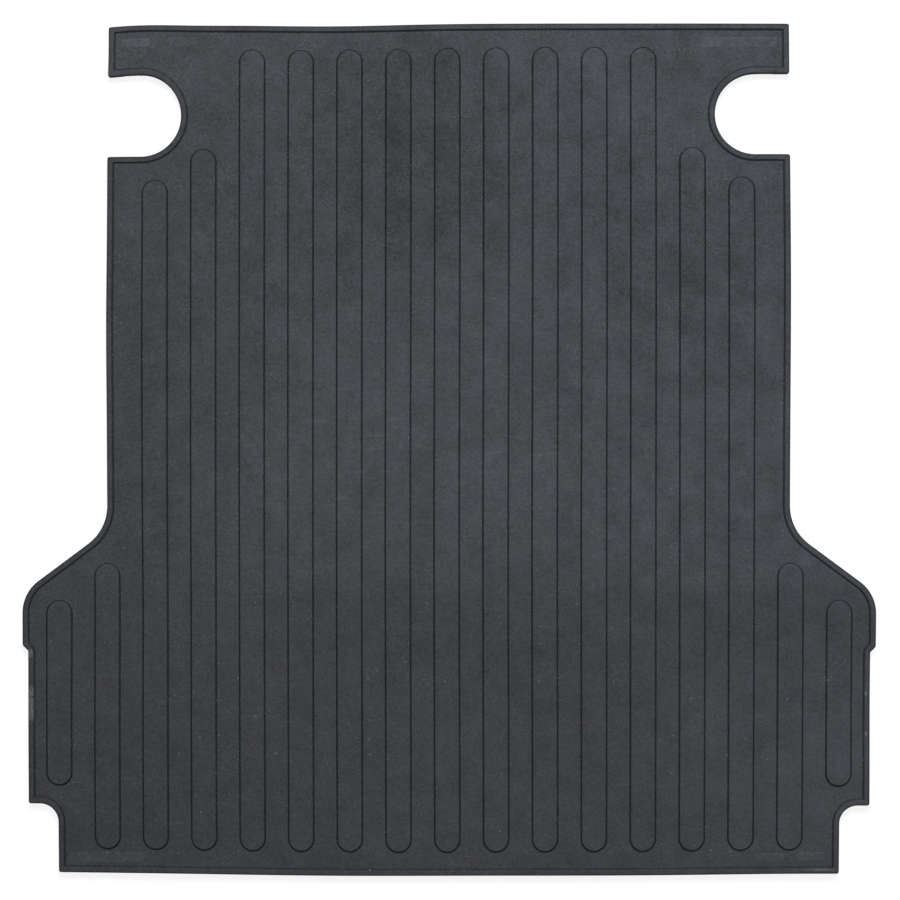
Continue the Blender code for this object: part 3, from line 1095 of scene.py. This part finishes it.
def make_rubber(name, level, dust, spots=SPOTS):
    """Matte moulded rubber; level scales its brightness, and dust is the strength of its flecks."""
    material = bpy.data.materials.new(name)
    material.use_nodes = True
    nodes = Nodes(material)
    shader = material.node_tree.nodes["Principled BSDF"]
    place = nodes.add("ShaderNodeTexCoord").outputs["Object"]
    rough = nodes.maths("ADD", nodes.layer(place, *ROUGH_CLOUDS), ROUGHNESS, clamp=True)
    nodes.feed(shader.inputs["Base Color"], rubber_colour(nodes, place, level, dust, spots))
    nodes.feed(shader.inputs["Roughness"], rough)
    nodes.feed(shader.inputs["Normal"], grain_bump(nodes, place))
    shader.inputs["Specular IOR Level"].default_value = RUBBER_SPECULAR
    return material


# Studio: floor, light and camera

def make_floor():
    """A pale floor that shows white to the camera and still takes the mat's shadow."""
    half = FLOOR_SPAN / 2
    mesh = bpy.data.meshes.new("studio_floor")
    corners = [(-half, -half, 0), (half, -half, 0), (half, half, 0), (-half, half, 0)]
    mesh.from_pydata(corners, [], [(0, 1, 2, 3)])
    floor = bpy.data.objects.new("studio_floor", mesh)
    floor.location.z = -FLOOR_DROP
    bpy.context.scene.collection.objects.link(floor)
    mesh.materials.append(make_floor_finish())


def seen_ray(nodes):
    """1 on rays that show the background: straight from the camera, or by way of gloss or glass."""
    path = nodes.add("ShaderNodeLightPath")
    seen = nodes.maths("MAXIMUM", path.outputs["Is Camera Ray"], path.outputs["Is Glossy Ray"])
    return nodes.maths("MAXIMUM", seen, path.outputs["Is Transmission Ray"])


def make_floor_finish():
    material = bpy.data.materials.new("studio_floor_finish")
    material.use_nodes = True
    nodes = Nodes(material)
    shader = material.node_tree.nodes["Principled BSDF"]
    seen = seen_ray(nodes)
    nodes.feed(shader.inputs["Base Color"], nodes.mix(seen, FLOOR_COLOUR, FLOOR_SEEN_COLOUR))
    shader.inputs["Roughness"].default_value = 1.0
    shader.inputs["Specular IOR Level"].default_value = 0.0
    shader.inputs["Emission Color"].default_value = WHITE
    nodes.feed(shader.inputs["Emission Strength"], nodes.maths("MULTIPLY", seen, FLOOR_GLOW))
    return material


def make_world():
    world = bpy.data.worlds.new("studio_world")
    bpy.context.scene.world = world
    world.use_nodes = True
    nodes = Nodes(world)
    back = world.node_tree.nodes["Background"]
    back.inputs["Color"].default_value = WHITE
    extra = nodes.maths("MULTIPLY", seen_ray(nodes), 1.0 - WORLD_FILL)
    nodes.feed(back.inputs["Strength"], nodes.maths("ADD", extra, WORLD_FILL))


def make_key_light():
    lamp = bpy.data.lights.new("key_softbox", "AREA")
    lamp.shape = "SQUARE"
    lamp.size = KEY_SIZE
    lamp.energy = KEY_POWER
    light = bpy.data.objects.new("key_softbox", lamp)
    light.location = KEY_PLACE
    direction = Vector(KEY_AIM) - Vector(KEY_PLACE)
    light.rotation_euler = direction.to_track_quat("-Z", "Y").to_euler()
    bpy.context.scene.collection.objects.link(light)


def make_camera():
    lens = bpy.data.cameras.new("photo_camera")
    lens.lens = CAMERA_LENS
    lens.sensor_width = SENSOR_WIDTH
    camera = bpy.data.objects.new("photo_camera", lens)
    camera.location = CAMERA_PLACE
    camera.rotation_euler = CAMERA_TURN
    bpy.context.scene.collection.objects.link(camera)
    bpy.context.scene.camera = camera


def make_mat():
    sheet = make_rubber(*SHEET_LOOK)
    ribs = make_rubber(*RIB_LOOK, SPOTS + RIB_SPOTS)
    rim = make_rubber(*RIM_LOOK)
    plates = make_rubber(*PLATE_LOOK)
    worn_plate = make_rubber(*WORN_PLATE_LOOK)
    make_base_sheet(sheet)
    make_rim(rim)
    for name, line in zip(RIB_NAMES, RIB_LINES):
        make_rib(name, line, ribs)
    for name, (centre, size) in PLATES.items():
        make_plate(name, centre, size, worn_plate if name == WORN_PLATE else plates)


def main():
    bpy.context.scene.view_settings.view_transform = "Standard"
    make_camera()
    make_mat()
    make_floor()
    make_world()
    make_key_light()


main()
